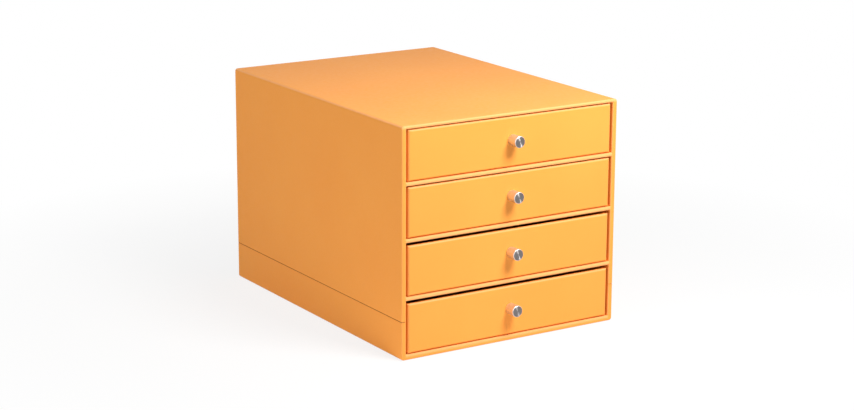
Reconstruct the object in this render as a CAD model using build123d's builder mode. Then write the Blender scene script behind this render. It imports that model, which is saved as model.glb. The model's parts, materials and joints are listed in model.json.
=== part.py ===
"""Desktop set of four mini drawers: a paper-covered board case, four board trays and metal knobs.

Millimetres, +X to the right, +Y to the back, +Z up. The origin is the middle of the case's
footprint, on the surface that the case stands on. The drawers are closed. Bays, drawers and
shelves are numbered from the top.
"""

import os

from build123d import *

os.makedirs("parts", exist_ok=True)

# ---------------------------------------------------------------- sheet materials
PAPER_T = 0.3
SIDE_BOARD_T = 3.0
SIDE_LINER_T = 1.2
TOP_BOARD_T = 2.5
BASE_BOARD_T = 3.0
BASE_LINER_T = 1.4
BACK_BOARD_T = 2.5
SHELF_BOARD_T = 3.0
TRAY_FRONT_T = 3.0
TRAY_WALL_T = 2.0
TRAY_BASE_T = 2.0

# ---------------------------------------------------------------- case
CASE_WIDTH = 236.0
CASE_DEPTH = 318.0
BAY_1_SPARE = 1.1
BAY_2_SPARE = 1.4
BAY_3_SPARE = 3.2
BAY_4_SPARE = 3.4
LONG_EDGE_RADIUS = 2.5
END_EDGE_RADIUS = 1.2
BAY_EDGE_RADIUS = 1.4
BAY_CORNER_RADIUS = 1.0

# ---------------------------------------------------------------- covering papers of the case
SEAM_HEIGHT = 36.5
SEAM_GAP = 0.8
FRONT_TURN_IN = 18.0
BACK_TURN_IN = 15.0
SHEET_INSET = 4.0

# ---------------------------------------------------------------- drawers
TRAY_HEIGHT = 47.0
TRAY_SIDE_GAP = 2.0
TRAY_UNDER_GAP = 0.2
TRAY_BACK_GAP = 0.5
TRAY_RECESS = 0.5
TRAY_EDGE_RADIUS = 1.6
TRAY_RIM_RADIUS = 0.6
TRAY_RIM_TURN_IN = 12.0

# ---------------------------------------------------------------- knob and its screw
KNOB_END_D = 11.0
KNOB_BASE_D = 10.2
KNOB_LENGTH = 12.8
KNOB_DOME = 0.35
KNOB_EDGE_RADIUS = 0.7
KNOB_HEIGHT = 25.5
KNOB_BORE_DEPTH = 8.0
SCREW_D = 4.0
SCREW_LENGTH = 10.0
SCREW_HEAD_D = 9.0
SCREW_HEAD_H = 2.2
SCREW_HEAD_RIM = 0.6
SCREW_SLOT_W = 1.1
SCREW_SLOT_L = 4.5
SCREW_SLOT_DEPTH = 1.0
THREAD_GAP = 0.05
SCREW_HOLE_GAP = 0.2

# ---------------------------------------------------------------- places worked out from the sizes
CUT_MARGIN = 1.0
PAPER_MARGIN = 0.1

WRAP_BOTTOM = PAPER_T
BAY_SPARES = (BAY_1_SPARE, BAY_2_SPARE, BAY_3_SPARE, BAY_4_SPARE)
BAY_HEIGHTS = [TRAY_HEIGHT + spare for spare in BAY_SPARES]
BASE_STACK = WRAP_BOTTOM + PAPER_T + BASE_BOARD_T + BASE_LINER_T + PAPER_T
SHELF_STACK = SHELF_BOARD_T + 2 * PAPER_T
TOP_STACK = TOP_BOARD_T + 2 * PAPER_T
SIDE_STACK = SIDE_BOARD_T + SIDE_LINER_T + 2 * PAPER_T
CASE_HEIGHT = BASE_STACK + sum(BAY_HEIGHTS) + (len(BAY_HEIGHTS) - 1) * SHELF_STACK + TOP_STACK

HALF_WIDTH = CASE_WIDTH / 2
BAY_HALF_WIDTH = HALF_WIDTH - SIDE_STACK
BOARD_HALF_WIDTH = HALF_WIDTH - PAPER_T
CARCASS_HALF_WIDTH = BOARD_HALF_WIDTH - SIDE_BOARD_T
LINER_FACE_X = BAY_HALF_WIDTH + PAPER_T

FRONT_Y = -CASE_DEPTH / 2
BACK_Y = CASE_DEPTH / 2
WRAP_BACK_Y = BACK_Y - PAPER_T
BOARD_FRONT_Y = FRONT_Y + PAPER_T
BOARD_BACK_Y = WRAP_BACK_Y - PAPER_T
BAY_BACK_Y = BOARD_BACK_Y - BACK_BOARD_T

BASE_BOARD_TOP = WRAP_BOTTOM + PAPER_T + BASE_BOARD_T
BASE_LINER_TOP = BASE_BOARD_TOP + BASE_LINER_T
TOP_BOARD_TOP = CASE_HEIGHT - PAPER_T
TOP_BOARD_BOTTOM = TOP_BOARD_TOP - TOP_BOARD_T


def bay_levels():
    """The floor and ceiling of each bay, between its covering papers, from the top bay down."""
    levels = []
    ceiling = CASE_HEIGHT - TOP_STACK
    for height in BAY_HEIGHTS:
        levels.append((ceiling - height, ceiling))
        ceiling -= height + SHELF_STACK
    return levels


BAYS = bay_levels()

TRAY_HALF_WIDTH = BAY_HALF_WIDTH - TRAY_SIDE_GAP
TRAY_FRONT_Y = FRONT_Y + TRAY_RECESS
TRAY_BACK_Y = BAY_BACK_Y - TRAY_BACK_GAP
TRAY_INNER_HALF = TRAY_HALF_WIDTH - TRAY_WALL_T - 2 * PAPER_T
TRAY_INNER_FRONT = TRAY_FRONT_Y + TRAY_FRONT_T + 2 * PAPER_T
TRAY_INNER_BACK = TRAY_BACK_Y - TRAY_WALL_T - 2 * PAPER_T
TRAY_INNER_FLOOR = TRAY_BASE_T + 2 * PAPER_T
KNOB_END_Y = TRAY_FRONT_Y - KNOB_LENGTH


def box_between(low, high, mode=Mode.ADD):
    """A box of the running part between two opposite corners."""
    middle = tuple((a + b) / 2 for a, b in zip(low, high))
    size = [b - a for a, b in zip(low, high)]
    with Locations(middle):
        Box(*size, mode=mode)


def save(piece, label):
    """Names a finished piece and writes its STEP file."""
    piece.label = label
    export_step(piece, f"parts/{label}.step")


# ---------------------------------------------------------------- the case as one block


def case_block(inset):
    """The whole case with its four bays, drawn in by inset from the papered surfaces."""
    height = CASE_HEIGHT - WRAP_BOTTOM - 2 * inset
    depth = WRAP_BACK_Y - FRONT_Y - 2 * inset
    with BuildPart() as block:
        with BuildSketch(Plane.XZ.offset(inset - WRAP_BACK_Y)):
            with Locations((0, WRAP_BOTTOM + inset + height / 2)):
                RectangleRounded(CASE_WIDTH - 2 * inset, height, LONG_EDGE_RADIUS - inset)
        extrude(amount=depth)
        ends = block.faces().sort_by(Axis.Y)
        fillet(ends[0].edges() + ends[-1].edges(), radius=END_EDGE_RADIUS - inset)
        with BuildSketch(Plane.XZ.offset(-BAY_BACK_Y)):
            for floor, ceiling in BAYS:
                with Locations((0, (floor + ceiling) / 2)):
                    RectangleRounded(
                        2 * (BAY_HALF_WIDTH + inset),
                        ceiling - floor + 2 * inset,
                        BAY_CORNER_RADIUS + inset,
                    )
        extrude(amount=BAY_BACK_Y - FRONT_Y + CUT_MARGIN, mode=Mode.SUBTRACT)
        front = block.faces().sort_by(Axis.Y)[0]
        mouths = [edge for wire in front.inner_wires() for edge in wire.edges()]
        fillet(mouths, radius=BAY_EDGE_RADIUS - inset)
    return block.part


def paper_skin(papered, boards):
    """All the covering paper: what lies between a papered block and the same block bare."""
    with BuildPart() as skin:
        add(papered)
        add(boards, mode=Mode.SUBTRACT)
    return skin.part


def board_between(boards, low, high):
    """The board that fills a bare case or tray between two corners."""
    with BuildPart() as board:
        add(boards)
        box_between(low, high, mode=Mode.INTERSECT)
    return board.part


def cross_board(low_z, high_z, back_y):
    """A board from side board to side board, with the edges that meet the bays eased in front."""
    with BuildPart() as board:
        box_between(
            (-CARCASS_HALF_WIDTH, BOARD_FRONT_Y, low_z),
            (CARCASS_HALF_WIDTH, back_y, high_z),
        )
        front = board.edges().filter_by(Axis.X).group_by(Axis.Y)[0].sort_by(Axis.Z)
        if high_z < TOP_BOARD_TOP:
            fillet(front, radius=BAY_EDGE_RADIUS - PAPER_T)
        else:
            fillet(front[0], radius=BAY_EDGE_RADIUS - PAPER_T)
            upper = board.edges().filter_by(Axis.X).group_by(Axis.Z)[-1]
            fillet(upper, radius=END_EDGE_RADIUS - PAPER_T)
    return board.part


def save_case_boards(boards):
    """Case boards and liners. Most are regions of the bare case."""
    front = BOARD_FRONT_Y - CUT_MARGIN
    back = BOARD_BACK_Y + CUT_MARGIN
    top = CASE_HEIGHT
    inner = CARCASS_HALF_WIDTH
    outer = HALF_WIDTH
    save(board_between(boards, (-outer, front, 0), (-inner, back, top)), "left_side_board")
    save(board_between(boards, (inner, front, 0), (outer, back, top)), "right_side_board")
    save(cross_board(TOP_BOARD_BOTTOM, TOP_BOARD_TOP, BOARD_BACK_Y), "top_board")
    save(board_between(boards, (-inner, front, 0), (inner, back, BASE_BOARD_TOP)), "base_board")
    save(
        board_between(
            boards,
            (-inner, BAY_BACK_Y, BASE_BOARD_TOP),
            (inner, back, TOP_BOARD_BOTTOM),
        ),
        "back_board",
    )
    save(
        board_between(
            boards,
            (-inner, front, BASE_BOARD_TOP),
            (inner, BAY_BACK_Y, BASE_LINER_TOP),
        ),
        "base_liner",
    )
    for number, (floor, ceiling) in enumerate(BAYS, start=1):
        low_z = floor - PAPER_T
        high_z = ceiling + PAPER_T
        save(
            board_between(boards, (-inner, front, low_z), (-LINER_FACE_X, BAY_BACK_Y, high_z)),
            f"left_liner_{number}",
        )
        save(
            board_between(boards, (LINER_FACE_X, front, low_z), (inner, BAY_BACK_Y, high_z)),
            f"right_liner_{number}",
        )
    for number, (above, below) in enumerate(zip(BAYS, BAYS[1:]), start=1):
        save(cross_board(below[1] + PAPER_T, above[0] - PAPER_T, BAY_BACK_Y), f"shelf_{number}")


# ---------------------------------------------------------------- covering papers of the case


def shelf_cover(skin, above, below):
    """The paper round a shelf: over its front edge and back along both of its faces."""
    with BuildPart() as cover:
        add(skin)
        box_between(
            (-BAY_HALF_WIDTH, FRONT_Y - CUT_MARGIN, below[1]),
            (BAY_HALF_WIDTH, BAY_BACK_Y, above[0]),
            mode=Mode.INTERSECT,
        )
    return cover.part


def wrap_part(skin, low_z, high_z):
    """One of the two wraps: outer paper, front turn-ins and back turn-ins between two heights."""
    with BuildPart() as wrap:
        add(skin)
        box_between(
            (-CASE_WIDTH, -CASE_DEPTH, low_z),
            (CASE_WIDTH, CASE_DEPTH, high_z),
            mode=Mode.INTERSECT,
        )
        box_between(
            (-LINER_FACE_X - PAPER_MARGIN, FRONT_Y + FRONT_TURN_IN, BASE_LINER_TOP - PAPER_MARGIN),
            (LINER_FACE_X + PAPER_MARGIN, BAY_BACK_Y, TOP_BOARD_BOTTOM + PAPER_MARGIN),
            mode=Mode.SUBTRACT,
        )
        box_between(
            (BACK_TURN_IN - HALF_WIDTH, BOARD_BACK_Y - PAPER_MARGIN, WRAP_BOTTOM + BACK_TURN_IN),
            (HALF_WIDTH - BACK_TURN_IN, BACK_Y, CASE_HEIGHT - BACK_TURN_IN),
            mode=Mode.SUBTRACT,
        )
        for above, below in zip(BAYS, BAYS[1:]):
            box_between(
                (-BAY_HALF_WIDTH, FRONT_Y - CUT_MARGIN, below[1]),
                (BAY_HALF_WIDTH, BAY_BACK_Y, above[0]),
                mode=Mode.SUBTRACT,
            )
    return wrap.part


def save_case_papers(skin):
    """The two wraps, the shelf covers and the plain sheets on the back and underneath."""
    seam_top = SEAM_HEIGHT + SEAM_GAP / 2
    seam_bottom = SEAM_HEIGHT - SEAM_GAP / 2
    save(wrap_part(skin, seam_top, CASE_HEIGHT + CUT_MARGIN), "upper_wrap")
    save(wrap_part(skin, -CUT_MARGIN, seam_bottom), "lower_wrap")
    for number, (above, below) in enumerate(zip(BAYS, BAYS[1:]), start=1):
        save(shelf_cover(skin, above, below), f"shelf_{number}_cover")

    sheet_half = HALF_WIDTH - SHEET_INSET
    with BuildPart() as back_sheet:
        box_between(
            (-sheet_half, WRAP_BACK_Y, WRAP_BOTTOM + SHEET_INSET),
            (sheet_half, BACK_Y, CASE_HEIGHT - SHEET_INSET),
        )
    save(back_sheet.part, "back_sheet")

    with BuildPart() as base_sheet:
        box_between(
            (-sheet_half, FRONT_Y + SHEET_INSET, 0),
            (sheet_half, WRAP_BACK_Y - SHEET_INSET, WRAP_BOTTOM),
        )
    save(base_sheet.part, "base_sheet")


# ---------------------------------------------------------------- one drawer, standing at height 0


def tray_block(inset):
    """A whole open drawer tray, drawn in by inset from the papered surfaces."""
    with BuildPart() as block:
        box_between(
            (inset - TRAY_HALF_WIDTH, TRAY_FRONT_Y + inset, inset),
            (TRAY_HALF_WIDTH - inset, TRAY_BACK_Y - inset, TRAY_HEIGHT - inset),
        )
        fillet(block.edges().filter_by(Axis.Z), radius=TRAY_EDGE_RADIUS - inset)
        ends = block.faces().sort_by(Axis.Z)
        fillet(ends[0].edges() + ends[-1].edges(), radius=TRAY_EDGE_RADIUS - inset)
        box_between(
            (-TRAY_INNER_HALF - inset, TRAY_INNER_FRONT - inset, TRAY_INNER_FLOOR - inset),
            (TRAY_INNER_HALF + inset, TRAY_INNER_BACK + inset, TRAY_HEIGHT + CUT_MARGIN),
            mode=Mode.SUBTRACT,
        )
        rim = block.faces().sort_by(Axis.Z)[-1]
        mouth = [edge for wire in rim.inner_wires() for edge in wire.edges()]
        fillet(mouth, radius=TRAY_RIM_RADIUS - inset)
        with BuildSketch(Plane.XZ.offset(-TRAY_INNER_FRONT)):
            with Locations((0, KNOB_HEIGHT)):
                Circle(SCREW_D / 2 + SCREW_HOLE_GAP)
        extrude(amount=TRAY_INNER_FRONT - TRAY_FRONT_Y, mode=Mode.SUBTRACT)
    return block.part


def tray_boards(boards):
    """The five boards of a tray by name: the front and back run across the ends of the sides."""
    wall_x = TRAY_INNER_HALF + PAPER_T
    front_y = TRAY_INNER_FRONT - PAPER_T
    back_y = TRAY_INNER_BACK + PAPER_T
    top = TRAY_HEIGHT
    wide = TRAY_HALF_WIDTH
    near = TRAY_FRONT_Y
    far = TRAY_BACK_Y
    floor_z = TRAY_INNER_FLOOR - PAPER_T
    return {
        "front_board": board_between(boards, (-wide, near, 0), (wide, front_y, top)),
        "back_wall": board_between(boards, (-wide, back_y, 0), (wide, far, top)),
        "left_wall": board_between(boards, (-wide, front_y, 0), (-wall_x, back_y, top)),
        "right_wall": board_between(boards, (wall_x, front_y, 0), (wide, back_y, top)),
        "floor_board": board_between(boards, (-wall_x, front_y, 0), (wall_x, back_y, floor_z)),
    }


def tray_papers(papered, boards):
    """The outer cover, turned in over the rim, and the lining inside the tray below it."""
    lining_low = (-TRAY_INNER_HALF - PAPER_T, TRAY_INNER_FRONT - PAPER_T, TRAY_INNER_FLOOR - PAPER_T)
    lining_high = (TRAY_INNER_HALF + PAPER_T, TRAY_INNER_BACK + PAPER_T, TRAY_HEIGHT - TRAY_RIM_TURN_IN)
    skin = paper_skin(papered, boards)
    with BuildPart() as cover:
        add(skin)
        box_between(lining_low, lining_high, mode=Mode.SUBTRACT)
    with BuildPart() as lining:
        add(skin)
        box_between(lining_low, lining_high, mode=Mode.INTERSECT)
    return {"cover": cover.part, "lining": lining.part}


def knob():
    """A turned metal knob: slightly wider at its domed end, with a blind threaded hole."""
    end_r = KNOB_END_D / 2
    dome_r = end_r - KNOB_EDGE_RADIUS
    dome_y = KNOB_END_Y + KNOB_DOME
    rim_y = dome_y + KNOB_EDGE_RADIUS
    with BuildPart() as turned:
        with BuildSketch(Plane.XY.offset(KNOB_HEIGHT)):
            with BuildLine():
                Polyline(
                    (0, KNOB_END_Y),
                    (0, TRAY_FRONT_Y),
                    (KNOB_BASE_D / 2, TRAY_FRONT_Y),
                    (end_r, rim_y),
                )
                TangentArc((end_r, rim_y), (dome_r, dome_y), tangent=(0, -1))
                TangentArc((0, KNOB_END_Y), (dome_r, dome_y), tangent=(1, 0))
            make_face()
        revolve(axis=Axis((0, 0, KNOB_HEIGHT), (0, 1, 0)))
        with BuildSketch(Plane.XZ.offset(-TRAY_FRONT_Y)):
            with Locations((0, KNOB_HEIGHT)):
                Circle(SCREW_D / 2 + THREAD_GAP)
        extrude(amount=KNOB_BORE_DEPTH, mode=Mode.SUBTRACT)
    return turned.part


def knob_screw():
    """A low-headed machine screw, put in from inside the tray, with a crossed drive."""
    head_end = TRAY_INNER_FRONT + SCREW_HEAD_H
    rim_y = TRAY_INNER_FRONT + SCREW_HEAD_RIM
    slot_y = head_end - SCREW_SLOT_DEPTH
    with BuildPart() as screw:
        with BuildSketch(Plane.XY.offset(KNOB_HEIGHT)):
            with BuildLine():
                Polyline(
                    (0, head_end),
                    (0, TRAY_INNER_FRONT - SCREW_LENGTH),
                    (SCREW_D / 2, TRAY_INNER_FRONT - SCREW_LENGTH),
                    (SCREW_D / 2, TRAY_INNER_FRONT),
                    (SCREW_HEAD_D / 2, TRAY_INNER_FRONT),
                    (SCREW_HEAD_D / 2, rim_y),
                )
                TangentArc(
                    (0, head_end),
                    (SCREW_HEAD_D / 2, rim_y),
                    tangent=(1, 0),
                )
            make_face()
        revolve(axis=Axis((0, 0, KNOB_HEIGHT), (0, 1, 0)))
        with BuildSketch(Plane.XZ.offset(-slot_y)):
            with Locations((0, KNOB_HEIGHT)):
                Rectangle(SCREW_SLOT_L, SCREW_SLOT_W)
                Rectangle(SCREW_SLOT_W, SCREW_SLOT_L)
        extrude(amount=-SCREW_HEAD_H, mode=Mode.SUBTRACT)
    return screw.part


def save_drawers(pieces):
    """Each drawer is the same set of pieces, set down on the floor of its own bay."""
    for number, (floor, _) in enumerate(BAYS, start=1):
        for name, piece in pieces.items():
            with BuildPart() as placed:
                with Locations((0, 0, floor + TRAY_UNDER_GAP)):
                    add(piece)
            save(placed.part, f"drawer_{number}_{name}")


papered_case = case_block(0)
bare_case = case_block(PAPER_T)
save_case_boards(bare_case)
save_case_papers(paper_skin(papered_case, bare_case))

papered_tray = tray_block(0)
bare_tray = tray_block(PAPER_T)
drawer_pieces = tray_boards(bare_tray)
drawer_pieces.update(tray_papers(papered_tray, bare_tray))
drawer_pieces["knob"] = knob()
drawer_pieces["screw"] = knob_screw()
save_drawers(drawer_pieces)

print(f"case {CASE_WIDTH} x {CASE_DEPTH} x {CASE_HEIGHT:.1f} mm")
print(f"room in a drawer {2 * TRAY_INNER_HALF:.1f} x {TRAY_INNER_BACK - TRAY_INNER_FRONT:.1f} mm")
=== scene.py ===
# %% [markdown]
# # A set of four desktop drawers in papered board
#
# The boards, screws and sliding joints come in from the construction model and stay where they
# are. What is made here is everything that the eye meets: the wrapping papers with their soft
# folded edges, the drawer covers and linings, and the turned metal knobs.

import json
import math

import bmesh
import bpy
from mathutils import Matrix, Vector

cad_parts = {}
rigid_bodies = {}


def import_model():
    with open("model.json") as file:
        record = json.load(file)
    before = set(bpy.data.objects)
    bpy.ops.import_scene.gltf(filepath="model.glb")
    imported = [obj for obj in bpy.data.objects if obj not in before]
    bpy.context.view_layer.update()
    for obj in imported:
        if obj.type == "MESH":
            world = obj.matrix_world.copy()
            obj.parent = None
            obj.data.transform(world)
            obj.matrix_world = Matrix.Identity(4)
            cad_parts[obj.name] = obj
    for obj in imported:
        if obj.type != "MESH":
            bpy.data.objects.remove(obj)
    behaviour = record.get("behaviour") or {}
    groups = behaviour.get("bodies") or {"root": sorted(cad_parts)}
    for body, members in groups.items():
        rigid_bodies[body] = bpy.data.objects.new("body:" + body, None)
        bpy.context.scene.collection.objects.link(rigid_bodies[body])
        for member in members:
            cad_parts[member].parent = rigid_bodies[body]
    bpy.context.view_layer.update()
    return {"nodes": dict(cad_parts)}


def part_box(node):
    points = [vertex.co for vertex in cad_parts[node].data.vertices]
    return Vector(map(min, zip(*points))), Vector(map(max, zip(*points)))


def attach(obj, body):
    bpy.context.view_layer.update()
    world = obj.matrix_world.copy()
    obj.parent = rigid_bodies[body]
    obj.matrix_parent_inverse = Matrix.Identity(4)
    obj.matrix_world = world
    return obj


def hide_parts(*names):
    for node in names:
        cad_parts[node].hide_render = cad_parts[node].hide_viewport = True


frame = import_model()
MM = 0.001

# %% [markdown]
# ## Measuring from the frame
#
# Every place below is read from the boards, so a papered surface lies one sheet of paper outside
# the board that carries it. Only the softness of the folds is chosen.

# %% Sizes from the boards
PAPER = 0.3 * MM
SEAM_GAP = 0.8 * MM
TURN_IN = 18 * MM
BACK_TURN_IN = 15 * MM
RIM_TURN_IN = 12 * MM
DRAWERS = (1, 2, 3, 4)
SHELVES = (1, 2, 3)

left_low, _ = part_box("left_side_board")
_, right_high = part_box("right_side_board")
base_low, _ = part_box("base_board")
_, top_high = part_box("top_board")
back_low, back_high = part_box("back_board")
liner_low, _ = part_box("right_liner_1")

case_low = Vector((left_low.x, left_low.y, base_low.z)) - Vector((PAPER, PAPER, PAPER))
case_high = Vector((right_high.x, back_high.y, top_high.z)) + Vector((PAPER, PAPER, PAPER))
bay_x = liner_low.x - PAPER
bay_back_y = back_low.y
_, lower_wrap_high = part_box("lower_wrap")
seam_z = lower_wrap_high.z + SEAM_GAP / 2


def bay_range(number):
    """The floor and ceiling of a bay, on its covering papers."""
    low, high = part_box(f"left_liner_{number}")
    return low.z + PAPER, high.z - PAPER


bays = [bay_range(number) for number in DRAWERS]
print(f"case from {case_low[:]} to {case_high[:]}, seam at {seam_z * 1000:.1f} mm")

# %% [markdown]
# ## The camera
#
# The view is a long lens from the front left, a little above the top of the case. The distance
# and angles were fitted to the corners of the case in the photograph.

# %% Camera
CAMERA_AZIMUTH = math.radians(-32.377)
CAMERA_ELEVATION = math.radians(14.498)
CAMERA_ROLL = math.radians(0.2415)
CAMERA_DISTANCE = 2.08014
CAMERA_RIGHT = 0.00759
CAMERA_UP = -0.01289
CAMERA_TARGET_Z = 0.108
CAMERA_LENS = 89.697
CAMERA_SENSOR = 36.0


def camera_axes(azimuth, elevation, roll):
    """The camera's right, up and backward directions."""
    back = Vector((
        math.sin(azimuth) * math.cos(elevation),
        -math.cos(azimuth) * math.cos(elevation),
        math.sin(elevation),
    ))
    right = (-back).cross(Vector((0, 0, 1))).normalized()
    up = back.cross(right)
    turned_right = right * math.cos(roll) + up * math.sin(roll)
    turned_up = up * math.cos(roll) - right * math.sin(roll)
    return right, up, turned_right, turned_up, back


right, up, cam_x, cam_y, cam_z = camera_axes(CAMERA_AZIMUTH, CAMERA_ELEVATION, CAMERA_ROLL)
eye = Vector((0, 0, CAMERA_TARGET_Z))
eye += cam_z * CAMERA_DISTANCE + right * CAMERA_RIGHT + up * CAMERA_UP
camera_data = bpy.data.cameras.new("camera")
camera_data.lens = CAMERA_LENS
camera_data.sensor_width = CAMERA_SENSOR
camera = bpy.data.objects.new("camera", camera_data)
bpy.context.scene.collection.objects.link(camera)
camera.matrix_world = Matrix((
    (cam_x.x, cam_y.x, cam_z.x, eye.x),
    (cam_x.y, cam_y.y, cam_z.y, eye.y),
    (cam_x.z, cam_y.z, cam_z.z, eye.z),
    (0, 0, 0, 1),
))
bpy.context.scene.camera = camera
print("camera at", [round(c, 3) for c in eye])

# %% [markdown]
# ## Small tools for working in edit mode
#
# Everything starts from a stretched cube, because a papered box is a box with soft edges. An
# operator acts on all that is selected, so each tool here first clears the selection.


# %% Blocks and edit mode
def select_only(piece):
    """Selects one piece and makes it the active one."""
    bpy.ops.object.select_all(action="DESELECT")
    bpy.context.view_layer.objects.active = piece
    piece.select_set(True)


def add_block(name, low, high):
    """A cube primitive stretched between two corners, with its place in its mesh."""
    bpy.ops.object.select_all(action="DESELECT")
    bpy.ops.mesh.primitive_cube_add(size=1, location=(Vector(low) + Vector(high)) / 2)
    block = bpy.context.object
    block.name = name
    block.scale = Vector(high) - Vector(low)
    bpy.ops.object.transform_apply(location=True, rotation=True, scale=True)
    return block


def edit(piece):
    """Opens a piece in edit mode with nothing selected."""
    select_only(piece)
    bpy.ops.object.mode_set(mode="EDIT")
    bpy.ops.mesh.select_all(action="DESELECT")


def done():
    """Leaves edit mode."""
    bpy.ops.object.mode_set(mode="OBJECT")


print("block tools ready")

# %% [markdown]
# By hand, one would click on the faces and edges. Here a rule on their place or direction picks
# them, and the same operators then work on the selection. Each pick is counted, so a wrong rule
# shows at once in the printed numbers. Places nearer than a hundredth of a millimetre count as one.

# %% Selecting by rule
Y, Z = 1, 2
TOUCH = 1e-5


def pick_faces(piece, rule):
    """Selects the faces whose centre and normal meet a rule, and says how many."""
    bpy.ops.mesh.select_mode(type="FACE")
    bpy.ops.mesh.select_all(action="DESELECT")
    mesh = bmesh.from_edit_mesh(piece.data)
    mesh.normal_update()
    chosen = [f for f in mesh.faces if rule(f.calc_center_median(), f.normal)]
    for face in chosen:
        face.select_set(True)
    bmesh.update_edit_mesh(piece.data)
    return len(chosen)


def pick_edges(piece, rule):
    """Selects the edges whose two ends meet a rule, and says how many."""
    bpy.ops.mesh.select_mode(type="EDGE")
    bpy.ops.mesh.select_all(action="DESELECT")
    mesh = bmesh.from_edit_mesh(piece.data)
    mesh.normal_update()
    chosen = [e for e in mesh.edges if rule(e)]
    for edge in chosen:
        edge.select_set(True)
    bmesh.update_edit_mesh(piece.data)
    return len(chosen)


def cut(point, normal, **options):
    """Cuts the whole mesh by a plane, and can drop one side of it."""
    bpy.ops.mesh.select_all(action="SELECT")
    bpy.ops.mesh.bisect(plane_co=point, plane_no=normal, **options)


def is_fold(edge, least_degrees=40):
    """True where two faces meet at a sharp angle, which is where paper is folded."""
    if len(edge.link_faces) != 2:
        return False
    return edge.calc_face_angle(0.0) > math.radians(least_degrees)


def lies_at(edge, axis, place):
    """True if both ends of an edge are at one place along an axis."""
    return all(abs(v.co[axis] - place) < TOUCH for v in edge.verts)


def runs_along(edge, axis, slack=1e-6):
    """True if an edge is parallel to an axis."""
    step = edge.verts[1].co - edge.verts[0].co
    return all(abs(step[other]) < slack for other in range(3) if other != axis)


print("selection rules ready")

# %% [markdown]
# A sheet of paper is shaped as a bare surface first, because cuts and bevels stay clean on it.
# Its thickness comes last, from Solidify, and smooth shading then keeps the flat sides flat.


# %% Thickness, soft folds and copies
def apply_modifier(piece, kind, **settings):
    """Adds a modifier with its settings and applies it."""
    select_only(piece)
    modifier = piece.modifiers.new(kind.lower(), kind)
    for key, value in settings.items():
        setattr(modifier, key, value)
    bpy.ops.object.modifier_apply(modifier=modifier.name)


def smooth(piece, degrees=35):
    """Smooth shading across folds, with each flat face keeping its own direction."""
    select_only(piece)
    bpy.ops.object.shade_smooth_by_angle(angle=math.radians(degrees))
    apply_modifier(piece, "WEIGHTED_NORMAL", keep_sharp=True, weight=100)


def as_paper(piece):
    """Gives a single sheet its thickness, inwards from the surface that shows."""
    apply_modifier(piece, "SOLIDIFY", thickness=PAPER, offset=-1.0, use_even_offset=True)
    smooth(piece)


def copy_of(piece, name):
    """A copy with its own mesh."""
    twin = piece.copy()
    twin.data = piece.data.copy()
    twin.name = name
    bpy.context.scene.collection.objects.link(twin)
    return twin


def finish_with(piece, material):
    """Gives a piece one material and no other."""
    piece.data.materials.clear()
    piece.data.materials.append(material)


print("sheet tools ready")

# %% [markdown]
# ## Colour and finish
#
# All patterns are read from Object coordinates, so they run on unbroken from the wrap to the
# shelves and drawers, and nothing has to be unwrapped. These small functions each add one node.


# %% Node helpers
def new_material(name):
    """A node material, with its nodes, its links and its shader."""
    material = bpy.data.materials.new(name)
    material.use_nodes = True
    nodes = material.node_tree.nodes
    links = material.node_tree.links
    shader = nodes["Principled BSDF"]
    return material, nodes, links, shader


def noise(nodes, links, coordinates, scale, detail=4.0, roughness=0.5, stretch=(1, 1, 1)):
    """A noise pattern on object coordinates, in cycles per metre, with an optional stretch."""
    mapping = nodes.new("ShaderNodeMapping")
    mapping.inputs["Scale"].default_value = stretch
    texture = nodes.new("ShaderNodeTexNoise")
    texture.inputs["Scale"].default_value = scale
    texture.inputs["Detail"].default_value = detail
    texture.inputs["Roughness"].default_value = roughness
    links.new(coordinates.outputs["Object"], mapping.inputs["Vector"])
    links.new(mapping.outputs["Vector"], texture.inputs["Vector"])
    return texture.outputs["Fac"]


def spread(nodes, links, value, low, high, to_low, to_high):
    """Moves a value from one range to another."""
    node = nodes.new("ShaderNodeMapRange")
    node.inputs["From Min"].default_value = low
    node.inputs["From Max"].default_value = high
    node.inputs["To Min"].default_value = to_low
    node.inputs["To Max"].default_value = to_high
    links.new(value, node.inputs["Value"])
    return node.outputs["Result"]


def mix_colours(nodes, links, factor, first, second):
    """A blend of two colours, each a fixed colour or a socket."""
    node = nodes.new("ShaderNodeMix")
    node.data_type = "RGBA"
    links.new(factor, node.inputs["Factor"])
    for slot, colour in (("A", first), ("B", second)):
        socket = [s for s in node.inputs if s.name == slot and s.type == "RGBA"][0]
        if isinstance(colour, tuple):
            socket.default_value = (*colour, 1.0)
        else:
            links.new(colour, socket)
    return [s for s in node.outputs if s.type == "RGBA"][0]


def bump(nodes, links, height, distance, strength=1.0, under=None):
    """A bump layer, laid over another one."""
    node = nodes.new("ShaderNodeBump")
    node.inputs["Distance"].default_value = distance
    node.inputs["Strength"].default_value = strength
    links.new(height, node.inputs["Height"])
    if under is not None:
        links.new(under, node.inputs["Normal"])
    return node.outputs["Normal"]


def maths(nodes, links, operation, first, second):
    """One sum on two sockets or numbers."""
    node = nodes.new("ShaderNodeMath")
    node.operation = operation
    for socket, value in zip(node.inputs, (first, second)):
        if isinstance(value, float):
            socket.default_value = value
        else:
            links.new(value, socket)
    return node.outputs[0]


def split(nodes, links, vector):
    """The three parts of a vector."""
    node = nodes.new("ShaderNodeSeparateXYZ")
    links.new(vector, node.inputs["Vector"])
    return node.outputs["X"], node.outputs["Y"], node.outputs["Z"]


print("node helpers ready")
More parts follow.
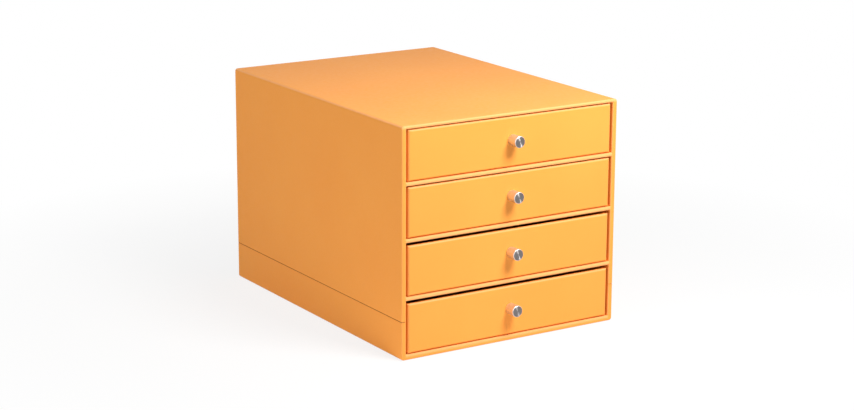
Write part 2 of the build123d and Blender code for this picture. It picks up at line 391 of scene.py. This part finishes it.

# %% [markdown]
# ## Where the paper is folded
#
# Where paper is drawn round an edge, the folds that face upwards are painted paler, a painted
# highlight with a little rubbing on every fold, and on the drawers the folds underneath are painted
# a deep red, which is painted shade. Such marks could be painted by hand, but the direction of the
# surface already tells where a fold is, and its place tells which strips lie over the front edges
# of the boards; those strips are painted a paler orange, as a painted highlight.

# %% Masks for the painted highlight and shade on the folds and the front strips
FLAT, FOLDED = 0.99, 0.8
STRIP_FULL, STRIP_GONE = 0.8 * MM, 1.8 * MM
FOOT_GONE, FOOT_FULL = 2.0 * MM, 3.5 * MM


def folded_edges(nodes, links, coordinates):
    """Masks on the folds: a painted highlight, mostly on upward folds, then painted shade on
    downward ones.
    """
    size = nodes.new("ShaderNodeVectorMath")
    size.operation = "ABSOLUTE"
    links.new(coordinates.outputs["Normal"], size.inputs[0])
    across, along, height = split(nodes, links, size.outputs["Vector"])
    flatness = maths(nodes, links, "MAXIMUM", across, along)
    flatness = maths(nodes, links, "MAXIMUM", flatness, height)
    slant = spread(nodes, links, flatness, FLAT, FOLDED, 0.0, 1.0)
    upward = split(nodes, links, coordinates.outputs["Normal"])[Z]
    # Paler as the fold faces upwards: a painted highlight, with a little on every fold for rubbing.
    rubbed_and_lit = spread(nodes, links, upward, -0.1, 0.25, 0.15, 1.0)
    # Deeper as the fold faces downwards: the mask for painted shade.
    shaded_below = spread(nodes, links, upward, -0.02, -0.2, 0.0, 1.0)
    on_top = maths(nodes, links, "MULTIPLY", slant, rubbed_and_lit)
    return on_top, maths(nodes, links, "MULTIPLY", slant, shaded_below)


def front_strip_highlights(nodes, links, coordinates):
    """A painted highlight: the paler strips over the front edges of the top, the shelves and the
    base.
    """
    x, y, z = split(nodes, links, coordinates.outputs["Object"])
    front = case_low.y
    near = spread(nodes, links, y, front + STRIP_GONE, front + STRIP_FULL, 0.0, 1.0)
    width = maths(nodes, links, "ABSOLUTE", x, 0.0)
    inside = spread(nodes, links, width, bay_x + 1.0 * MM, bay_x - 0.5 * MM, 0.0, 1.0)
    on_top = spread(nodes, links, z, bays[0][1], bays[0][1] + 1.0 * MM, 0.0, 1.0)
    foot = case_low.z
    off_floor = spread(nodes, links, z, foot + FOOT_GONE, foot + FOOT_FULL, 0.0, 1.0)
    length = maths(nodes, links, "MAXIMUM", inside, on_top)
    strip = maths(nodes, links, "MULTIPLY", near, length)
    return maths(nodes, links, "MULTIPLY", strip, off_floor)


print("fold masks ready")

# %% [markdown]
# ## The covering paper
#
# The real sheet is smooth and evenly orange. A picture of paper could be laid on it, but it
# would repeat and carry its own light. Noise at four sizes serves better: a slow drift of colour,
# the fibres, the grain of the gloss, and the faint cockle of a sheet glued to board.

# %% Paper
# How far the upper folds are paled: a painted highlight, with a little rubbing.
FOLD_RUB_AND_HIGHLIGHT = 0.1
# The paler orange of the front strips: a painted highlight.
STRIP_HIGHLIGHT_ORANGE = (0.975, 0.45, 0.155)
FIBRE_SHADE = 0.82
FIBRE_DEPTH, FIBRE_STRENGTH = 0.03 * MM, 0.5
COCKLE_DEPTH, COCKLE_STRENGTH = 0.35 * MM, 0.5


def lighter(colour, share):
    """A colour moved a share of the way to white."""
    return tuple(c + (1.0 - c) * share for c in colour)


def paper_material(name, light, deep, roughness, strips=False, under_fold_shade=None):
    """Smooth coated paper: drifting colour, fine fibres and a faint cockle."""
    material, nodes, links, shader = new_material(name)
    coordinates = nodes.new("ShaderNodeTexCoord")
    drift = noise(nodes, links, coordinates, 9.0, detail=3.0)
    fibres = noise(nodes, links, coordinates, 900.0, detail=6.0, stretch=(1.0, 0.45, 1.0))
    grain = noise(nodes, links, coordinates, 260.0, detail=5.0)
    waves = noise(nodes, links, coordinates, 22.0, detail=2.0)
    broad = mix_colours(nodes, links, spread(nodes, links, drift, 0.3, 0.7, 0, 1), light, deep)
    speck = spread(nodes, links, fibres, 0.35, 0.75, 0.0, 0.10)
    darker = tuple(c * FIBRE_SHADE for c in deep)
    colour = mix_colours(nodes, links, speck, broad, darker)
    # Upper folds paled towards white: a painted highlight, with a little rubbing on every fold.
    on_top, underneath = folded_edges(nodes, links, coordinates)
    colour = mix_colours(nodes, links, on_top, colour, lighter(light, FOLD_RUB_AND_HIGHLIGHT))
    # Paler strips over the case's front edges: a painted highlight.
    if strips:
        strip_highlight = front_strip_highlights(nodes, links, coordinates)
        colour = mix_colours(nodes, links, strip_highlight, colour, STRIP_HIGHLIGHT_ORANGE)
    # Deep red on the downward folds of the drawers: painted shade.
    if under_fold_shade:
        colour = mix_colours(nodes, links, underneath, colour, under_fold_shade)
    links.new(colour, shader.inputs["Base Color"])
    gloss = spread(nodes, links, grain, 0.3, 0.7, roughness - 0.05, roughness + 0.07)
    links.new(gloss, shader.inputs["Roughness"])
    shader.inputs["Specular IOR Level"].default_value = 0.07
    shader.inputs["Coat Weight"].default_value = 0.04
    shader.inputs["Coat Roughness"].default_value = 0.32
    under = bump(nodes, links, waves, COCKLE_DEPTH, COCKLE_STRENGTH)
    relief = bump(nodes, links, fibres, FIBRE_DEPTH, FIBRE_STRENGTH, under)
    links.new(relief, shader.inputs["Normal"])
    return material


print("paper ready")

# %% [markdown]
# ## Bare board, and the lap behind the seam
#
# Grey board is pressed from pulp, so it is mottled and matt. It shows only at the back of an empty
# bay and on the ceiling of the top one. At the seam the lower sheet laps behind the upper one, so
# no grey is seen in the gap. A short band of dark orange on the side boards stands for that lap,
# and it is painted much darker than the sheet, as painted shade in the gap.


# %% Board
def board_material(name, light, deep):
    """Bare grey pulp board: mottled, matt and fibrous."""
    material, nodes, links, shader = new_material(name)
    coordinates = nodes.new("ShaderNodeTexCoord")
    flecks = noise(nodes, links, coordinates, 700.0, detail=6.0, roughness=0.7)
    mottle = noise(nodes, links, coordinates, 60.0, detail=4.0)
    broad = mix_colours(nodes, links, spread(nodes, links, mottle, 0.3, 0.7, 0, 1), light, deep)
    pale = tuple(min(1.0, c * 1.35) for c in light)
    colour = mix_colours(nodes, links, spread(nodes, links, flecks, 0.45, 0.7, 0, 0.5), broad, pale)
    links.new(colour, shader.inputs["Base Color"])
    shader.inputs["Roughness"].default_value = 0.9
    shader.inputs["Specular IOR Level"].default_value = 0.25
    links.new(bump(nodes, links, flecks, 0.08 * MM), shader.inputs["Normal"])
    return material


def lap_shade_material(name, board, paper, level, reach):
    """Board on which the paper's lap shows for a short way above and below a level, darkened as
    painted shade.
    """
    material = board.copy()
    material.name = name
    nodes = material.node_tree.nodes
    links = material.node_tree.links
    shader = nodes["Principled BSDF"]
    coordinates = nodes.new("ShaderNodeTexCoord")
    near = nodes.new("ShaderNodeMath")
    near.operation = "COMPARE"
    near.inputs[1].default_value = level
    near.inputs[2].default_value = reach
    links.new(split(nodes, links, coordinates.outputs["Object"])[Z], near.inputs[0])
    bare = shader.inputs["Base Color"].links[0].from_socket
    links.new(mix_colours(nodes, links, near.outputs[0], bare, paper), shader.inputs["Base Color"])
    return material


print("board ready")

# %% [markdown]
# ## Turned metal
#
# The faced-off end of a turned bar is covered in fine rings, which draw the shine out into a
# bright bow tie. The rings could be modelled, but they are far finer than a pixel, so an
# anisotropic shine on a radial tangent stands for them. The side keeps a plain satin shine.
# The end's colour is painted darker than the side's, as a painted dark reflection.

# %% Metal
# How dark the end's colour is painted, as a painted dark reflection.
END_PAINTED_DARKNESS = 0.4


def metal_material(name, colour, roughness, end_roughness, anisotropy):
    """Turned metal, with rings on its faced-off end that draw the shine out across them, and an end
    painted darker as a painted dark reflection.
    """
    material, nodes, links, shader = new_material(name)
    coordinates = nodes.new("ShaderNodeTexCoord")
    scratches = noise(nodes, links, coordinates, 2600.0, detail=3.0, stretch=(1.0, 6.0, 1.0))
    facing = split(nodes, links, coordinates.outputs["Normal"])[Y]
    on_end = spread(nodes, links, facing, -0.85, -0.97, 0.0, 1.0)
    # The end's colour is darkened: a painted dark reflection.
    painted_dark_end = mix_colours(nodes, links, on_end, colour, tuple(c * END_PAINTED_DARKNESS for c in colour))
    links.new(painted_dark_end, shader.inputs["Base Color"])
    shader.inputs["Metallic"].default_value = 1.0
    gloss = spread(nodes, links, scratches, 0.3, 0.7, roughness - 0.05, roughness + 0.05)
    coarser = spread(nodes, links, on_end, 0.0, 1.0, 0.0, end_roughness - roughness)
    links.new(maths(nodes, links, "ADD", gloss, coarser), shader.inputs["Roughness"])
    if anisotropy:
        shader.inputs["Anisotropic Rotation"].default_value = 0.25
        drawn = maths(nodes, links, "MULTIPLY", on_end, anisotropy)
        links.new(drawn, shader.inputs["Anisotropic"])
        tangent = nodes.new("ShaderNodeTangent")
        tangent.direction_type = "RADIAL"
        tangent.axis = "Y"
        links.new(tangent.outputs["Tangent"], shader.inputs["Tangent"])
    links.new(bump(nodes, links, scratches, 0.01 * MM, 0.4), shader.inputs["Normal"])
    return material


print("metal ready")

# %% [markdown]
# ## The finishes of this object
#
# The case and the drawers are covered with the same orange sheet, so they share its colours and
# differ only in painted light: paler strips on the case's front edges are a painted highlight, and
# a deep red under the drawers' folds is painted shade. Linings and hidden sheets are plainer and
# more matt.

# %% The finishes
ORANGE = (0.95, 0.378, 0.071)
DEEP_ORANGE = (0.935, 0.355, 0.064)
# Deep red for the drawers' downward folds: painted shade.
UNDER_FOLD_SHADE_RED = (0.74, 0.135, 0.01)
# Much darker than the sheet: painted shade in the gap of the seam.
LAP_SHADE_ORANGE = (0.40, 0.12, 0.018)
LAP_REACH = 6 * MM
orange_paper = paper_material("orange_paper", ORANGE, DEEP_ORANGE, 0.46, strips=True)
drawer_paper = paper_material("drawer_paper", ORANGE, DEEP_ORANGE, 0.46, under_fold_shade=UNDER_FOLD_SHADE_RED)
lining_paper = paper_material("lining_paper", (0.90, 0.41, 0.09), (0.87, 0.38, 0.08), 0.62)
base_paper = paper_material("base_paper", (0.86, 0.38, 0.075), (0.82, 0.35, 0.07), 0.6)
inner_board = paper_material("papered_liner", (0.92, 0.38, 0.058), (0.89, 0.355, 0.05), 0.6)
grey_board = board_material("grey_board", (0.40, 0.36, 0.30), (0.32, 0.28, 0.23))
lapped_board = lap_shade_material("lapped_board", grey_board, LAP_SHADE_ORANGE, seam_z, LAP_REACH)
knob_metal = metal_material("turned_knob", (0.76, 0.70, 0.69), 0.46, 0.5, 1.0)
screw_steel = metal_material("screw_steel", (0.66, 0.65, 0.63), 0.32, 0.32, 0.0)
print("materials:", [m.name for m in bpy.data.materials])

# %% [markdown]
# ## The wrapping papers of the case
#
# On the real box one sheet covers the top and sides and another the foot. They could be made as
# separate folded strips, but then their corners would have to be matched. It is simpler to shape
# the whole papered case once, as a single skin with four mouths, and to part it at the seam.


# %% The whole skin
def in_a_mouth(point):
    """True in front of one of the four bay mouths."""
    return abs(point.x) < bay_x and any(low < point.z < high for low, high in bays)


skin = add_block("case_skin", case_low, case_high)
edit(skin)
for side in (-bay_x, bay_x):
    cut((side, 0, 0), (1, 0, 0))
for low, high in bays:
    cut((0, 0, low), (0, 0, 1))
    cut((0, 0, high), (0, 0, 1))
mouths = pick_faces(skin, lambda c, n: n.y < -0.9 and in_a_mouth(c))
bpy.ops.mesh.extrude_region_move(TRANSFORM_OT_translate={"value": (0, TURN_IN, 0)})
bpy.ops.mesh.delete(type="FACE")
print("mouths opened:", mouths, "and turned in by", TURN_IN * 1000, "mm")

# %% [markdown]
# At the back the paper is only turned in over the edge of the board, and a plain sheet hides the
# rest. So the back of the skin is cut all round and its middle is taken out.

# %% Open the back inside its turned-in border
back_sides = (case_low.x + BACK_TURN_IN, case_high.x - BACK_TURN_IN)
back_levels = (case_low.z + BACK_TURN_IN, case_high.z - BACK_TURN_IN)
for side in back_sides:
    cut((side, 0, 0), (1, 0, 0))
for level in back_levels:
    cut((0, 0, level), (0, 0, 1))


def in_the_back(c, n):
    """True on the back, inside its border."""
    across = back_sides[0] < c.x < back_sides[1]
    return n.y > 0.9 and across and back_levels[0] < c.z < back_levels[1]


back_faces = pick_faces(skin, in_the_back)
bpy.ops.mesh.delete(type="FACE")
print("faces taken out of the back:", back_faces)

# %% [markdown]
# Folded paper is never quite sharp. A bevel modifier would round all the edges alike, so each kind
# of fold is picked and rounded by itself: broad along the sides, tight at the ends, and between
# the two round the mouths.

# %% Soften the long edges, the ends and the mouths
LONG_EDGE = 2.5 * MM
END_EDGE = 1.2 * MM
MOUTH_EDGE = 1.4 * MM
RIM_CLEAR = 2 * MM


def is_long_edge(edge):
    """One of the four outer edges from front to back."""
    x = abs(edge.verts[0].co.x)
    z = edge.verts[0].co.z
    at_side = abs(x - case_high.x) < TOUCH
    at_level = min(abs(z - case_low.z), abs(z - case_high.z)) < TOUCH
    return runs_along(edge, Y) and at_side and at_level


def is_mouth_rim(edge):
    """The fold round a mouth, in the front face."""
    return lies_at(edge, Y, case_low.y) and is_fold(edge) and not is_end_rim(edge)


def is_end_rim(edge):
    """The fold round the outside of the front or back face."""
    centre = (edge.verts[0].co + edge.verts[1].co) / 2
    beside = abs(centre.x) > bay_x + RIM_CLEAR
    above = centre.z > bays[0][1] + RIM_CLEAR
    below = centre.z < bays[-1][0] - RIM_CLEAR
    at_end = lies_at(edge, Y, case_low.y) or lies_at(edge, Y, case_high.y)
    return at_end and (beside or above or below) and is_fold(edge)


def round_over(piece, rule, radius, segments):
    """Rounds the edges that a rule picks."""
    count = pick_edges(piece, rule)
    bpy.ops.mesh.bevel(offset=radius, segments=segments, affect="EDGES", clamp_overlap=False)
    return count


counts = [
    round_over(skin, is_long_edge, LONG_EDGE, 5),
    round_over(skin, is_end_rim, END_EDGE, 4),
    round_over(skin, is_mouth_rim, MOUTH_EDGE, 5),
]
bpy.ops.mesh.select_all(action="SELECT")
bpy.ops.mesh.remove_doubles(threshold=1e-6)
bpy.ops.mesh.dissolve_limited(angle_limit=math.radians(0.5))
done()
print("rounded edges: long, ends, mouths =", counts)

# %% [markdown]
# The skin is now parted: the strips on the shelves become their own covers, because on the real
# box each shelf is papered before it goes in, and a cut at the seam gives the two wraps.

# %% Part off the shelf covers
SPLIT_INSET = 0.5 * MM


def shelf_zone(number):
    """Between the ceiling of the bay below a shelf and the floor of the one above."""
    return bays[number][1], bays[number - 1][0]


def split_off(source, name, rule):
    """Separates the picked faces of a piece into a new one."""
    edit(source)
    pick_faces(source, rule)
    before = set(bpy.data.objects)
    bpy.ops.mesh.separate(type="SELECTED")
    done()
    part = [o for o in bpy.data.objects if o not in before][0]
    part.name = name
    return part


edit(skin)
cut((-bay_x + SPLIT_INSET, 0, 0), (1, 0, 0))
cut((bay_x - SPLIT_INSET, 0, 0), (1, 0, 0))
done()

for number in SHELVES:
    low, high = shelf_zone(number)

    def on_shelf(c, n, low=low, high=high):
        """Faces of the strip round this shelf's front edge."""
        inside = abs(c.x) < bay_x - SPLIT_INSET and c.y < case_low.y + TURN_IN
        return inside and low - TOUCH < c.z < high + TOUCH

    cover = split_off(skin, f"shelf_{number}_paper", on_shelf)
    edit(cover)
    pick_edges(cover, lambda e: lies_at(e, Y, case_low.y + TURN_IN))
    bpy.ops.mesh.extrude_region_move(
        TRANSFORM_OT_translate={"value": (0, bay_back_y - case_low.y - TURN_IN, 0)}
    )
    done()
    as_paper(cover)
    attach(cover, "case")
    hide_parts(f"shelf_{number}_cover")
    finish_with(cover, orange_paper)
    print(cover.name, len(cover.data.polygons), "faces")

# %% [markdown]
# Each wrap is a copy of the skin with the other side of the seam cut away.

# %% Part the two wraps at the seam
lower_paper = copy_of(skin, "lower_wrap_paper")
upper_paper = skin
upper_paper.name = "upper_wrap_paper"
edit(upper_paper)
cut((0, 0, seam_z + SEAM_GAP / 2), (0, 0, 1), clear_inner=True)
done()
edit(lower_paper)
cut((0, 0, seam_z - SEAM_GAP / 2), (0, 0, 1), clear_outer=True)
done()
for piece, node in ((upper_paper, "upper_wrap"), (lower_paper, "lower_wrap")):
    as_paper(piece)
    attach(piece, "case")
    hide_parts(node)
    finish_with(piece, orange_paper)
    print(piece.name, len(piece.data.polygons), "faces")

# %% [markdown]
# ## The drawer covers and linings
#
# Each tray is covered on the outside with the same orange paper, which is folded over the rim and
# glued down inside. The lining covers the rest of the inside. One drawer is shaped and copied
# down to the other bays.


# %% Sizes of one tray
def span(name):
    """The box of a drawer piece, with the outer paper round it."""
    low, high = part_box(name)
    grow = Vector((PAPER, PAPER, PAPER))
    return low - grow, high + grow


front_low, front_high = span("drawer_1_front_board")
rear_low, rear_high = span("drawer_1_back_wall")
tray_low = Vector([min(a, b) for a, b in zip(front_low, rear_low)])
tray_high = Vector([max(a, b) for a, b in zip(front_high, rear_high)])
inner_low = Vector((
    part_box("drawer_1_left_wall")[1].x + PAPER,
    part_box("drawer_1_front_board")[1].y + PAPER,
    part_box("drawer_1_floor_board")[1].z + PAPER,
))
inner_high = Vector((
    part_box("drawer_1_right_wall")[0].x - PAPER,
    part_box("drawer_1_back_wall")[0].y - PAPER,
    tray_high.z,
))
print("tray from", [round(c, 4) for c in tray_low], "to", [round(c, 4) for c in tray_high])

# %% [markdown]
# The cover is a block cut along the inside of the walls. The middle of its top is pushed down by
# the width of the turned-in paper and then taken out, which leaves a rim with a lip inside.


# %% The cover's rim
def over_room(point):
    """True above the inside of the tray."""
    return inner_low.x < point.x < inner_high.x and inner_low.y < point.y < inner_high.y


cover = add_block("drawer_1_cover_paper", tray_low, tray_high)
edit(cover)
for side in (inner_low.x, inner_high.x):
    cut((side, 0, 0), (1, 0, 0))
for side in (inner_low.y, inner_high.y):
    cut((0, side, 0), (0, 1, 0))
room_faces = pick_faces(cover, lambda c, n: n.z > 0.9 and over_room(c))
bpy.ops.mesh.extrude_region_move(TRANSFORM_OT_translate={"value": (0, 0, -RIM_TURN_IN)})
bpy.ops.mesh.delete(type="FACE")
print("faces taken out over the room:", room_faces)

# %% [markdown]
# The face of the drawer has the broadest folds, which catch the light along its upper edge.

# %% The cover's folds
FRONT_EDGE = 2.2 * MM
COVER_EDGE = 1.6 * MM
RIM_EDGE = 0.6 * MM


def over_room_edge(edge):
    """An edge on the inside of the tray's walls."""
    x, y = edge.verts[0].co.x, edge.verts[0].co.y
    inside_x = inner_low.x - TOUCH < x < inner_high.x + TOUCH
    inside_y = inner_low.y - TOUCH < y < inner_high.y + TOUCH
    return inside_x and inside_y


def is_tray_corner(edge):
    """An upright outer corner of the tray."""
    return runs_along(edge, Z) and is_fold(edge) and not over_room_edge(edge)


def is_outer_rim(edge):
    """The outer fold along the rim or along the underside."""
    level = lies_at(edge, Z, tray_high.z) or lies_at(edge, Z, tray_low.z)
    return level and is_fold(edge) and not over_room_edge(edge)


def is_inner_rim(edge):
    """The inner fold along the rim."""
    return lies_at(edge, Z, tray_high.z) and is_fold(edge) and over_room_edge(edge)


def is_front_edge(edge):
    """One of the four edges round the drawer's face."""
    return lies_at(edge, Y, tray_low.y) and is_fold(edge)


counts = [
    round_over(cover, is_front_edge, FRONT_EDGE, 6),
    round_over(cover, is_tray_corner, COVER_EDGE, 4),
    round_over(cover, is_outer_rim, COVER_EDGE, 4),
    round_over(cover, is_inner_rim, RIM_EDGE, 3),
]
done()
as_paper(cover)
print("drawer cover edges rounded:", counts)

# %% [markdown]
# The lining is an open box that shows from inside, so its faces are flipped to point into the
# room before it gets its thickness. That way the paper grows towards the walls.

# %% One drawer lining
LINING_EDGE = 0.5 * MM
lining = add_block("drawer_1_lining_paper", inner_low, inner_high - Vector((0, 0, RIM_TURN_IN)))
edit(lining)
pick_faces(lining, lambda c, n: n.z > 0.9)
bpy.ops.mesh.delete(type="FACE")
bpy.ops.mesh.select_all(action="SELECT")
bpy.ops.mesh.flip_normals()
lining_folds = round_over(lining, is_fold, LINING_EDGE, 2)
done()
as_paper(lining)
print("drawer lining edges rounded:", lining_folds)

# %% [markdown]
# ## The knobs
#
# Each knob is turned on a lathe from a metal bar. It could be spun from a profile, but a short
# cylinder is nearly there: its end is inset and pushed out into a shallow dome, its rim is
# rounded, and its foot tapers a little where it meets the paper.

# %% The bar of one knob
KNOB_SIDES = 64
knob_low, knob_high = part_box("drawer_1_knob")
knob_r = (knob_high.x - knob_low.x) / 2
knob_axis = Vector(((knob_low.x + knob_high.x) / 2, 0, (knob_low.z + knob_high.z) / 2))
knob_length = knob_high.y - knob_low.y
bpy.ops.object.select_all(action="DESELECT")
bpy.ops.mesh.primitive_cylinder_add(
    vertices=KNOB_SIDES,
    radius=knob_r,
    depth=knob_length,
    location=(knob_axis.x, (knob_low.y + knob_high.y) / 2, knob_axis.z),
    rotation=(math.radians(90), 0, 0),
)
knob = bpy.context.object
knob.name = "drawer_1_turned_knob"
bpy.ops.object.transform_apply(location=True, rotation=True, scale=True)
print("knob", round(knob_length * 1000, 1), "mm long,", round(knob_r * 2000, 1), "mm across")

# %% Dome, rim and foot
DOME = 0.35 * MM
DOME_STEPS = ((1.4 * MM, 0.10 * MM), (1.5 * MM, 0.09 * MM), (1.3 * MM, 0.06 * MM))
KNOB_RIM = 0.7 * MM
KNOB_FOOT = 0.25 * MM
BASE_TAPER = 0.927
RIM_ZONE, FOOT_ZONE = 2 * MM, 1 * MM
knob_centre = (knob_axis.x, 0, knob_axis.z)
edit(knob)
pick_faces(knob, lambda c, n: n.y > 0.9)
bpy.ops.transform.resize(value=(BASE_TAPER, 1, BASE_TAPER), center_override=knob_centre)
pick_faces(knob, lambda c, n: n.y < -0.9)
bpy.ops.transform.translate(value=(0, DOME, 0))
for step, rise in DOME_STEPS:
    bpy.ops.mesh.inset(thickness=step)
    bpy.ops.transform.translate(value=(0, -rise, 0))


def is_knob_rim(edge):
    """The fold round the end of the knob."""
    return is_fold(edge) and edge.verts[0].co.y < knob_low.y + RIM_ZONE


def is_knob_foot(edge):
    """The fold round the foot of the knob."""
    return is_fold(edge) and edge.verts[0].co.y > knob_high.y - FOOT_ZONE


counts = [
    round_over(knob, is_knob_rim, KNOB_RIM, 5),
    round_over(knob, is_knob_foot, KNOB_FOOT, 2),
]
done()
smooth(knob, 30)
print("knob edges rounded, rim and foot:", counts)

# %% [markdown]
# The three finished pieces are copied to the other drawers, each copy with its own mesh, moved
# down by the distance between the drawers' floors.

# %% Dress all four drawers
pieces = (
    (cover, "cover", drawer_paper),
    (lining, "lining", lining_paper),
    (knob, "knob", knob_metal),
)
first_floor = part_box("drawer_1_floor_board")[0].z
for number in DRAWERS:
    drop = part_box(f"drawer_{number}_floor_board")[0].z - first_floor
    for source, part, material in pieces:
        piece = source
        if number > 1:
            piece = copy_of(source, source.name.replace("drawer_1", f"drawer_{number}"))
            piece.data.transform(Matrix.Translation((0, 0, drop)))
        finish_with(piece, material)
        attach(piece, f"drawer_{number}")
        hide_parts(f"drawer_{number}_{part}")
print("dressed", len(DRAWERS), "drawers")

# %% [markdown]
# ## Finishes on the boards
#
# The boards keep their construction shapes. Where a drawer is pulled out, the papered liners show
# on the sides of the bay and bare grey board at the back.

# %% Materials on the construction nodes
for name, node in frame["nodes"].items():
    if "liner" in name:
        finish = inner_board
    elif "side_board" in name:
        finish = lapped_board
    elif name in ("back_sheet", "base_sheet"):
        finish = base_paper
    elif "screw" in name:
        finish = screw_steel
    else:
        finish = grey_board
    finish_with(node, finish)
print("finishes set on", len(frame["nodes"]), "nodes")

# %% [markdown]
# ## Light and floor
#
# One softbox high in front, a little to the right, gives the short soft shadows under the knobs.
# A wider one on the left lights the long side, and the pale surroundings fill in the rest.


# %% Lamps
def softbox(name, place, target, size, power):
    """A square area lamp that faces a target."""
    data = bpy.data.lights.new(name, "AREA")
    data.shape = "SQUARE"
    data.size = size
    data.energy = power
    lamp = bpy.data.objects.new(name, data)
    lamp.location = place
    lamp.rotation_euler = (Vector(target) - Vector(place)).to_track_quat("-Z", "Y").to_euler()
    bpy.context.scene.collection.objects.link(lamp)
    return lamp


key = softbox("key", (0.13, -0.594, 0.717), (0, -0.12, 0.12), 0.32, 7.9)
left_fill = softbox("left_fill", (-1.9, 0.0, 0.8), (-0.1, 0, 0.1), 1.2, 14.5)
print("lamps:", [(lamp.name, round(lamp.data.energy, 1)) for lamp in (key, left_fill)])

# %% [markdown]
# A white backdrop could be had from more light, but that would bleach the paper. Instead the
# surroundings and the floor are white only to rays from the camera or off a shiny piece, and the
# light that falls on the object stays low.

# %% Surroundings that look white
AMBIENT = 0.22


def seen_directly(nodes, links):
    """1 for rays from the camera, a gloss or a clear piece, and 0 for the light on the object."""
    rays = nodes.new("ShaderNodeLightPath").outputs
    share = maths(nodes, links, "MAXIMUM", rays["Is Camera Ray"], rays["Is Glossy Ray"])
    return maths(nodes, links, "MAXIMUM", share, rays["Is Transmission Ray"])


world = bpy.data.worlds.new("surroundings")
bpy.context.scene.world = world
world.use_nodes = True
tree = world.node_tree
background = tree.nodes["Background"]
background.inputs["Color"].default_value = (1, 1, 1, 1)
seen = seen_directly(tree.nodes, tree.links)
level = spread(tree.nodes, tree.links, seen, 0.0, 1.0, AMBIENT, 1.0)
tree.links.new(level, background.inputs["Strength"])
print("surroundings light the object at", AMBIENT)

# %% [markdown]
# The floor glows a little less close to the object than far off, so that the object's shadow
# still shows on it.

# %% A pale floor that keeps the shadow
FLOOR_SIZE = 12
NEAR_REACH, FAR_REACH = 0.2, 0.6
NEAR_GLOW = 0.82
bpy.ops.object.select_all(action="DESELECT")
bpy.ops.mesh.primitive_plane_add(size=FLOOR_SIZE, location=(0, 0, 0))
floor = bpy.context.object
floor.name = "floor"
floor_material, nodes, links, shader = new_material("pale_floor")
shader.inputs["Base Color"].default_value = (0.9, 0.9, 0.9, 1)
shader.inputs["Roughness"].default_value = 0.9
glow = nodes.new("ShaderNodeEmission")
glow.inputs["Strength"].default_value = 1.0
place = nodes.new("ShaderNodeTexCoord")
reach = nodes.new("ShaderNodeVectorMath")
reach.operation = "LENGTH"
links.new(place.outputs["Object"], reach.inputs[0])
far = spread(nodes, links, reach.outputs["Value"], NEAR_REACH, FAR_REACH, NEAR_GLOW, 1.0)
share = maths(nodes, links, "MULTIPLY", seen_directly(nodes, links), far)
mixer = nodes.new("ShaderNodeMixShader")
links.new(share, mixer.inputs["Fac"])
links.new(shader.outputs["BSDF"], mixer.inputs[1])
links.new(glow.outputs["Emission"], mixer.inputs[2])
links.new(mixer.outputs["Shader"], nodes["Material Output"].inputs["Surface"])
floor.data.materials.append(floor_material)
print("floor", FLOOR_SIZE, "m across")

# %% [markdown]
# ## Colours as written
#
# The Standard view transform shows a colour about as it is written.

# %% Plain colour handling
bpy.context.scene.view_settings.view_transform = "Standard"
print("view transform:", bpy.context.scene.view_settings.view_transform)
